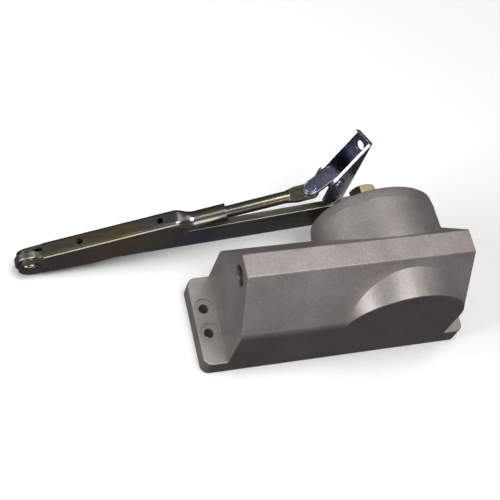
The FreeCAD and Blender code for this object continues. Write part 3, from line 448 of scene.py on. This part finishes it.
def smooth(piece, degrees=35.0):
    """Shade smooth, with large flat faces kept flat right up to their rounded edges."""
    choose(piece)
    bpy.ops.object.shade_smooth_by_angle(angle=math.radians(degrees))
    add_modifier(piece, "WEIGHTED_NORMAL", keep_sharp=True)


def close_ends(piece, sides):
    """Close the open ends of a wound profile and turn its faces outwards."""
    choose(piece)
    bpy.ops.object.mode_set(mode="EDIT")
    bpy.ops.mesh.select_all(action="SELECT")
    bpy.ops.mesh.fill_holes(sides=sides)
    bpy.ops.mesh.select_all(action="SELECT")
    bpy.ops.mesh.normals_make_consistent(inside=False)
    bpy.ops.object.mode_set(mode="OBJECT")
    smooth(piece)


def rounded_copy(node, name, radius):
    """Stand a copy of a CAD node with softened edges in its place."""
    source = NODES[node]
    piece = bpy.data.objects.new(name, source.data.copy())
    bpy.context.scene.collection.objects.link(piece)
    choose(piece)
    bpy.ops.object.mode_set(mode="EDIT")
    bpy.ops.mesh.select_all(action="SELECT")
    bpy.ops.mesh.remove_doubles(threshold=0.002 * MM)
    bpy.ops.mesh.dissolve_limited(angle_limit=math.radians(0.6))
    bpy.ops.object.mode_set(mode="OBJECT")
    add_modifier(piece, "BEVEL", width=radius, segments=2, limit_method="ANGLE",
                 angle_limit=math.radians(38), use_clamp_overlap=True)
    smooth(piece)
    return keep(piece, name, source["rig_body"], source.data.materials[0], [node])


def pick(piece, kind, test):
    """In edit mode, select the vertices, edges or faces that pass a test."""
    bpy.ops.mesh.select_mode(type=kind)
    bpy.ops.mesh.select_all(action="DESELECT")
    mesh = bmesh.from_edit_mesh(piece.data)
    items = {"VERT": mesh.verts, "EDGE": mesh.edges, "FACE": mesh.faces}[kind]
    chosen = [item for item in items if test(item)]
    for item in chosen:
        item.select_set(True)
    mesh.select_flush_mode()
    bmesh.update_edit_mesh(piece.data)
    if not chosen:
        raise RuntimeError(f"nothing to shape on {piece.name}")


def at(value, target):
    """Whether two places are the same, within rounding."""
    return abs(value - target) < SAME_PLACE


def span(edge, axis):
    """How far an edge reaches along an axis."""
    return abs(edge.verts[0].co[axis] - edge.verts[1].co[axis])


def put(piece, origin, along, up):
    """Turn a piece modelled along X, with Z up, into its place and apply that place."""
    side = up.cross(along)
    turn = Matrix((along, side, up)).transposed().to_4x4()
    piece.matrix_world = Matrix.Translation(origin) @ turn
    choose(piece)
    bpy.ops.object.transform_apply(location=True, rotation=True, scale=True)


# ---------------------------------------------------------------- operators

class CLOSER_OT_body_finish(bpy.types.Operator):
    """Spray the casting and the spring cover"""
    bl_idname = "closer.body_finish"
    bl_label = "Body paint"

    def execute(self, context):
        dress(sprayed_aluminium(context.scene.closer_paint), "housing", "spring_cover")
        return {"FINISHED"}


class CLOSER_OT_arm_finish(bpy.types.Operator):
    """Plate the main arm, forearm and adjusting rod"""
    bl_idname = "closer.arm_finish"
    bl_label = "Arm plating"

    def execute(self, context):
        arm = context.scene.closer_arm
        dress(passivated_steel("passivated_bar", (arm.bar, "#9CA096", "#A8A794"), arm.streak, 8.0, 0.30),
              "main_arm")
        dress(passivated_steel("passivated_sheet", (arm.violet, "#A39E90", arm.yellow), arm.streak, 18.5,
                               0.22), "forearm", "elbow_rivet", "adjusting_rod")
        dress(passivated_steel("passivated_nut", ("#8F8B80", "#ABA283", "#B9AC80"), arm.streak, 0.0,
                               0.25), "arm_nut", "arm_washer")
        return {"FINISHED"}


CHEEK_STRIPS = 8
FOLD_STRIPS = 4
WEB_STRIPS = 2


class CLOSER_OT_forearm(bpy.types.Operator):
    """Press the forearm from sheet: a channel whose end is rolled into a tube"""
    bl_idname = "closer.forearm"
    bl_label = "Forearm"

    def execute(self, context):
        shape = context.scene.closer_forearm
        piece = self.fold_channel(shape)
        self.taper_cheeks(piece, shape)
        for side in (-1, 1):
            self.draw_ear(piece, shape, side)
        self.roll_nose(piece, shape)
        self.thin_the_tube(piece, shape)
        add_modifier(piece, "SOLIDIFY", thickness=shape.sheet, offset=-1.0, vertex_group="wall",
                     thickness_vertex_group=0.0, use_even_offset=True)
        self.drill(piece, shape)
        add_modifier(piece, "BEVEL", width=0.35 * MM, segments=2, limit_method="ANGLE",
                     angle_limit=math.radians(50), use_clamp_overlap=True)
        along = Vector(joint("rod_slide")["axis"])
        put(piece, Vector(joint("elbow")["pos_m"]), along, Vector((0, -1, 0)).cross(along))
        smooth(piece)
        keep(piece, "forearm_sheet", "folding_arm",
             NODES["forearm"].data.materials[0], ["forearm"])
        return {"FINISHED"}

    def fold_channel(self, shape):
        """A box without its bottom and ends, with its two long top edges rounded as folds."""
        deselect_all()
        length = shape.shoulder - shape.web_start
        bpy.ops.mesh.primitive_cube_add(
            size=1, location=(shape.web_start + length / 2, 0, (shape.web - shape.depth) / 2),
            scale=(length, 2 * shape.half_width, shape.web + shape.depth))
        piece = bpy.context.active_object
        bpy.ops.object.transform_apply(location=True, rotation=True, scale=True)
        bpy.ops.object.mode_set(mode="EDIT")
        pick(piece, "FACE", lambda face: face.normal.z < -0.5 or abs(face.normal.x) > 0.5)
        bpy.ops.mesh.delete(type="FACE")
        pick(piece, "EDGE", lambda edge: span(edge, 0) > MM and at(edge.verts[0].co.z, shape.web))
        bpy.ops.mesh.bevel(offset=shape.bend, segments=FOLD_STRIPS, profile=0.5, affect="EDGES")
        pick(piece, "EDGE", lambda edge: span(edge, 2) > 10 * MM)
        bpy.ops.mesh.subdivide(number_cuts=CHEEK_STRIPS - 1)
        pick(piece, "EDGE", lambda edge: span(edge, 1) > shape.half_width / 2)
        bpy.ops.mesh.subdivide(number_cuts=WEB_STRIPS - 1)
        return piece

    def taper_cheeks(self, piece, shape):
        """The cheeks are deepest a little past the elbow and shallower at both ends."""
        bpy.ops.mesh.select_all(action="SELECT")
        bpy.ops.mesh.bisect(plane_co=(shape.deepest, 0, 0), plane_no=(1, 0, 0))
        fold = shape.web - shape.bend
        for along, depth in ((shape.web_start, shape.root_depth), (shape.shoulder, shape.tail_depth)):
            pick(piece, "VERT", lambda vertex: at(vertex.co.x, along) and vertex.co.z < fold)
            bpy.ops.transform.resize(value=(1, 1, (fold + depth) / (fold + shape.depth)),
                                     center_override=(0, 0, fold))

    def draw_ear(self, piece, shape, side):
        """Extrude a cheek's end to the elbow and spin it round into the ear."""
        fold = shape.web - shape.bend
        across = side * shape.half_width

        def on_end(edge, along):
            return all(at(vertex.co.x, along) and at(vertex.co.y, across) for vertex in edge.verts)

        pick(piece, "EDGE", lambda edge: on_end(edge, shape.web_start))
        bpy.ops.mesh.extrude_region_move(TRANSFORM_OT_translate={"value": (-shape.web_start, 0, 0)})
        stretch = 2 * shape.lug / (fold + shape.root_depth)
        fixed = (shape.lug - stretch * fold) / (1 - stretch)
        bpy.ops.transform.resize(value=(1, 1, stretch), center_override=(0, across, fixed))
        pick(piece, "EDGE", lambda edge: on_end(edge, 0) and min(v.co.z for v in edge.verts) > -0.1 * MM)
        bpy.ops.mesh.spin(steps=16, angle=math.pi, center=(0, across, 0), axis=(0, 1, 0))
        bpy.ops.mesh.select_all(action="SELECT")
        bpy.ops.mesh.remove_doubles(threshold=SAME_PLACE)

    def roll_nose(self, piece, shape):
        """Add the rolled tube with its seam underneath and bridge the channel to it."""
        bpy.ops.object.mode_set(mode="OBJECT")
        deselect_all()
        strips = 2 * (CHEEK_STRIPS + FOLD_STRIPS) + WEB_STRIPS
        quarter = math.pi / 2
        bpy.ops.mesh.primitive_cylinder_add(
            vertices=strips + 1, radius=shape.tube, depth=shape.length - shape.tube_start,
            end_fill_type="NOTHING", location=((shape.length + shape.tube_start) / 2, 0, 0),
            rotation=(quarter, 0, quarter))
        tube = bpy.context.active_object
        bpy.ops.object.transform_apply(location=True, rotation=True, scale=True)
        bpy.ops.object.mode_set(mode="EDIT")
        pick(tube, "FACE", lambda face: face.normal.z < -0.99)
        bpy.ops.mesh.delete(type="FACE")
        bpy.ops.object.mode_set(mode="OBJECT")
        choose(piece)
        tube.select_set(True)
        bpy.ops.object.join()
        bpy.ops.object.mode_set(mode="EDIT")
        pick(piece, "EDGE", lambda edge: any(all(at(vertex.co.x, along) for vertex in edge.verts)
                                             for along in (shape.shoulder, shape.tube_start)))
        bpy.ops.mesh.bridge_edge_loops(number_cuts=10, interpolation="SURFACE", smoothness=0.9)
        bpy.ops.mesh.select_all(action="SELECT")
        bpy.ops.mesh.normals_make_consistent(inside=False)
        bpy.ops.object.mode_set(mode="OBJECT")

    def thin_the_tube(self, piece, shape):
        """The rolled end is thinner, because it is swaged over the rod."""
        group = piece.vertex_groups.new(name="wall")
        for vertex in piece.data.vertices:
            share = (vertex.co.x - shape.shoulder) / (shape.tube_start - shape.shoulder)
            share = min(max(share, 0.0), 1.0)
            group.add([vertex.index], 1.0 + (shape.tube_wall / shape.sheet - 1.0) * share, "REPLACE")

    def drill(self, piece, shape):
        """Two holes through the web and one through the ears."""
        quarter = math.pi / 2
        holes = [(shape.web_hole, (along, 0, shape.web), (0, 0, 0)) for along in shape.web_holes]
        holes.append((shape.rivet_hole, (0, 0, 0), (quarter, 0, 0)))
        for radius, place, turn in holes:
            deselect_all()
            depth = 12 * MM if place[2] else 6 * shape.half_width
            bpy.ops.mesh.primitive_cylinder_add(vertices=32, radius=radius, depth=depth,
                                                location=place, rotation=turn)
            cutter = bpy.context.active_object
            add_modifier(piece, "BOOLEAN", operation="DIFFERENCE", solver="EXACT", object=cutter)
            bpy.data.objects.remove(cutter)


class CLOSER_OT_soft_edges(bpy.types.Operator):
    """Break the sharp edges of the stamped and forged pieces"""
    bl_idname = "closer.soft_edges"
    bl_label = "Broken edges"

    def execute(self, context):
        for node, radius in EDGE_RADII:
            rounded_copy(node, node + "_piece", radius * MM)
        return {"FINISHED"}


class CLOSER_OT_threads(bpy.types.Operator):
    """Add the threads that show: in the two ports and on the end of the spindle"""
    bl_idname = "closer.threads"
    bl_label = "Threads"

    def execute(self, context):
        shape = context.scene.closer_threads
        valve = NODES["speed_valve"].data.materials[0]
        level = joint("speed_adjust")["pos_m"][2]
        for name, side in (("valve_port_thread", -1), ("filler_port_thread", 1)):
            ridge = self.wind(shape.port_radius, -shape.port_depth, shape.port_pitch, shape.port_turns)
            put(ridge, Vector((side * shape.port_start, 0, level)), Vector((0, 1, 0)),
                Vector((side, 0, 0)))
            keep(ridge, name, "closer_body", valve)
        ridge = self.wind(shape.spindle_radius, shape.spindle_depth, shape.spindle_pitch,
                          shape.spindle_turns)
        centre = Vector(joint("spindle_turn")["pos_m"])
        centre.y = shape.spindle_start
        put(ridge, centre, Vector((1, 0, 0)), Vector((0, 1, 0)))
        keep(ridge, "spindle_thread", "spindle_and_arm",
             NODES["spindle"].data.materials[0])
        return {"FINISHED"}

    def wind(self, radius, depth, pitch, turns):
        """Wind a three-sided ridge about Z, with its edge outwards, or inwards if depth is negative."""
        deselect_all()
        quarter = math.pi / 2
        bpy.ops.mesh.primitive_circle_add(vertices=3, radius=abs(depth), location=(radius, 0, 0),
                                          rotation=(quarter, math.copysign(quarter, depth), 0))
        ridge = bpy.context.active_object
        bpy.ops.object.transform_apply(location=True, rotation=True, scale=True)
        add_modifier(ridge, "SCREW", axis="Z", screw_offset=pitch, iterations=turns, steps=32,
                     render_steps=32)
        close_ends(ridge, 3)
        return ridge


class CLOSER_OT_link_arcs(bpy.types.Operator):
    """Raise two stamped arcs on the link, round the head of its rivet"""
    bl_idname = "closer.link_arcs"
    bl_label = "Link arcs"

    def execute(self, context):
        shape = context.scene.closer_link
        rivet = Vector(joint("link_swivel")["pos_m"])
        up = Vector(joint("link_swivel")["axis"])
        along = Vector(joint("foot_swing")["pos_m"]) - rivet
        along = (along - up * along.dot(up)).normalized()
        start = math.pi - shape.sweep / 2
        for number, radius in enumerate(shape.radii, 1):
            deselect_all()
            bpy.ops.mesh.primitive_circle_add(
                vertices=10, radius=shape.bead, rotation=(math.pi / 2, 0, start),
                location=(radius * math.cos(start), radius * math.sin(start), 0))
            arc = bpy.context.active_object
            bpy.ops.object.transform_apply(location=True, rotation=True, scale=True)
            add_modifier(arc, "SCREW", axis="Z", angle=shape.sweep, screw_offset=0, iterations=1,
                         steps=32, render_steps=32)
            close_ends(arc, 10)
            put(arc, rivet + up * shape.height, along, up)
            keep(arc, f"link_arc_{number}", "swivel_link",
                 NODES["link"].data.materials[0])
        return {"FINISHED"}


class CLOSER_OT_foot_finish(bpy.types.Operator):
    """Plate the link, the foot and the elbow washers"""
    bl_idname = "closer.foot_finish"
    bl_label = "Foot plating"

    def execute(self, context):
        dress(bright_zinc(), "link", "link_rivet", "foot_bracket", "foot_pin", "elbow_washers")
        return {"FINISHED"}


class CLOSER_OT_steel_finish(bpy.types.Operator):
    """Finish the turned pieces, the spring, the bushes and the seals"""
    bl_idname = "closer.steel_finish"
    bl_label = "Turned pieces"

    def execute(self, context):
        low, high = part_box("arm_washer")
        middle = (low + high) / 2
        quarter = math.pi / 2
        dress(turned_steel("turned_steel_spindle", middle, (quarter, 0, 0), "#98989A"), "spindle",
              "gland_nut", "spring_arbor", "arbor_key", "spring_anchor")
        low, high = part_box("cylinder_cap")
        middle = (low + high) / 2
        dress(turned_steel("turned_steel_bore", middle, (0, quarter, 0), "#98989A"), "cylinder_cap",
              "piston", "check_ball", "check_seat")
        low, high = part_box("speed_valve")
        middle = (low + high) / 2
        dress(turned_steel("turned_steel_ports", middle, (0, quarter, 0), "#8E8D8A"), "speed_valve",
              "filler_plug")
        dress(plain_grained("blued_spring_steel", [(0.3, "#2A2E3A"), (0.7, "#4A4E5C")], 1.0, 0.3,
                            300.0, 0.00003), "main_spring")
        dress(plain_grained("sintered_bronze", [(0.3, "#8A6238"), (0.7, "#B58A55")], 1.0, 0.4,
                            900.0, 0.00005), "near_bush", "far_bush")
        dress(plain_grained("nitrile_rubber", [(0.3, "#141414"), (0.7, "#232323")], 0.0, 0.6,
                            600.0, 0.00006), "shaft_seal", "cap_seal", "valve_seal", "plug_seal",
              "piston_ring")
        return {"FINISHED"}


def area_light(name, energy, size, place, target, colour="#FFFFFF"):
    """Add an area light that points at a target."""
    data = bpy.data.lights.new(name, "AREA")
    data.energy = energy
    data.shape = "RECTANGLE"
    data.size, data.size_y = size
    data.color = linear(colour)[:3]
    lamp = bpy.data.objects.new(name, data)
    bpy.context.scene.collection.objects.link(lamp)
    lamp.location = place
    lamp.rotation_euler = (Vector(target) - Vector(place)).to_track_quat("-Z", "Y").to_euler()
    return lamp


class CLOSER_OT_stage(bpy.types.Operator):
    """Set up the floor, the soft light and the camera"""
    bl_idname = "closer.stage"
    bl_label = "Stage"

    def execute(self, context):
        stage = context.scene.closer_stage
        self.add_floor()
        self.add_world(context.scene)
        self.add_lights()
        self.add_camera(context.scene, stage)
        context.scene.view_settings.view_transform = "Standard"
        return {"FINISHED"}

    def add_floor(self):
        """A sheet of backdrop paper under and behind the closer."""
        deselect_all()
        bpy.ops.mesh.primitive_plane_add(size=6.0, location=(0, 0, CAD_BOX[0][2] - 0.0002))
        floor = bpy.context.active_object
        floor.name = "stage_floor"
        material, tree = new_material("matt_backdrop_paper")
        place = object_coordinates(tree)
        fibre = add_node(tree, "ShaderNodeTexNoise", values={"Scale": 500.0, "Detail": 2.0},
                         links={"Vector": place})
        shader = add_node(tree, "ShaderNodeBsdfPrincipled", values={"Roughness": 0.95},
                          links={"Base Color": ramp(tree, fibre.outputs["Fac"],
                                                    [(0.3, "#F4F4F3"), (0.7, "#F9F9F8")])})
        finish(tree, shader)
        floor.data.materials.append(material)
        floor.visible_glossy = False
        floor.visible_diffuse = False

    def add_world(self, scene):
        """The tones of the room, which light the closer softly and show in its shiny pieces."""
        world = bpy.data.worlds.new("studio")
        scene.world = world
        world.use_nodes = True
        tree = world.node_tree
        tree.nodes.clear()
        direction = add_node(tree, "ShaderNodeTexCoord").outputs["Generated"]
        height = add_node(tree, "ShaderNodeSeparateXYZ", links={"Vector": direction}).outputs["Z"]
        level = add_node(tree, "ShaderNodeMapRange", values={"From Min": -1.0, "From Max": 1.0},
                         links={"Value": height}).outputs["Result"]
        sky = ramp(tree, level, SKY)
        background = add_node(tree, "ShaderNodeBackground", values={"Strength": SKY_STRENGTH},
                              links={"Color": sky})
        add_node(tree, "ShaderNodeOutputWorld", links={"Surface": background.outputs["Background"]})

    def add_lights(self):
        """Three softboxes and a large front reflector."""
        for name, watts, size, place in SOFTBOXES:
            area_light(name, watts, size, place, BODY_MIDDLE)
        front = area_light("reflector_front", 7.0, (1.3, 0.7), (-0.15, -1.2, 0.45), (-0.1, 0, 0.04))
        front.visible_diffuse = False

    def add_camera(self, scene, stage):
        """Aim the camera for the main view."""
        azimuth = math.radians(stage.azimuth)
        elevation = math.radians(stage.elevation)
        back = Vector((math.sin(azimuth) * math.cos(elevation), -math.cos(azimuth) * math.cos(elevation),
                       math.sin(elevation)))
        data = bpy.data.cameras.new("camera")
        data.lens = stage.lens
        data.sensor_width = 36.0
        camera = bpy.data.objects.new("camera", data)
        scene.collection.objects.link(camera)
        turn = (-back).to_track_quat("-Z", "Y").to_matrix().to_4x4()
        lean = Matrix.Rotation(math.radians(stage.roll), 4, "Z")
        camera.matrix_world = Matrix.Translation(Vector(stage.aim) + back * stage.distance) @ turn @ lean
        scene.camera = camera


STEPS = ("closer.body_finish", "closer.arm_finish", "closer.foot_finish", "closer.steel_finish",
         "closer.forearm", "closer.soft_edges", "closer.threads", "closer.link_arcs", "closer.stage")


class CLOSER_PT_panel(bpy.types.Panel):
    """Everything that makes up the closer's looks"""
    bl_label = "Door closer"
    bl_idname = "CLOSER_PT_panel"
    bl_space_type = "VIEW_3D"
    bl_region_type = "UI"
    bl_category = "Door closer"

    def draw(self, context):
        for step in STEPS:
            self.layout.operator(step)


CLASSES = (CloserBodyPaint, CloserArmFinish, CloserForearm, CloserThreads, CloserLink, CloserStage,
           CLOSER_OT_body_finish, CLOSER_OT_arm_finish, CLOSER_OT_foot_finish, CLOSER_OT_steel_finish,
           CLOSER_OT_forearm, CLOSER_OT_soft_edges, CLOSER_OT_threads, CLOSER_OT_link_arcs,
           CLOSER_OT_stage, CLOSER_PT_panel)


def register():
    for item in CLASSES:
        bpy.utils.register_class(item)
    bpy.types.Scene.closer_paint = PointerProperty(type=CloserBodyPaint)
    bpy.types.Scene.closer_arm = PointerProperty(type=CloserArmFinish)
    bpy.types.Scene.closer_forearm = PointerProperty(type=CloserForearm)
    bpy.types.Scene.closer_threads = PointerProperty(type=CloserThreads)
    bpy.types.Scene.closer_link = PointerProperty(type=CloserLink)
    bpy.types.Scene.closer_stage = PointerProperty(type=CloserStage)


def unregister():
    del bpy.types.Scene.closer_stage
    del bpy.types.Scene.closer_link
    del bpy.types.Scene.closer_threads
    del bpy.types.Scene.closer_forearm
    del bpy.types.Scene.closer_arm
    del bpy.types.Scene.closer_paint
    for item in reversed(CLASSES):
        bpy.utils.unregister_class(item)


def main():
    register()
    for step in STEPS:
        group, name = step.split(".")
        getattr(getattr(bpy.ops, group), name)()


if __name__ == "__main__":
    main()
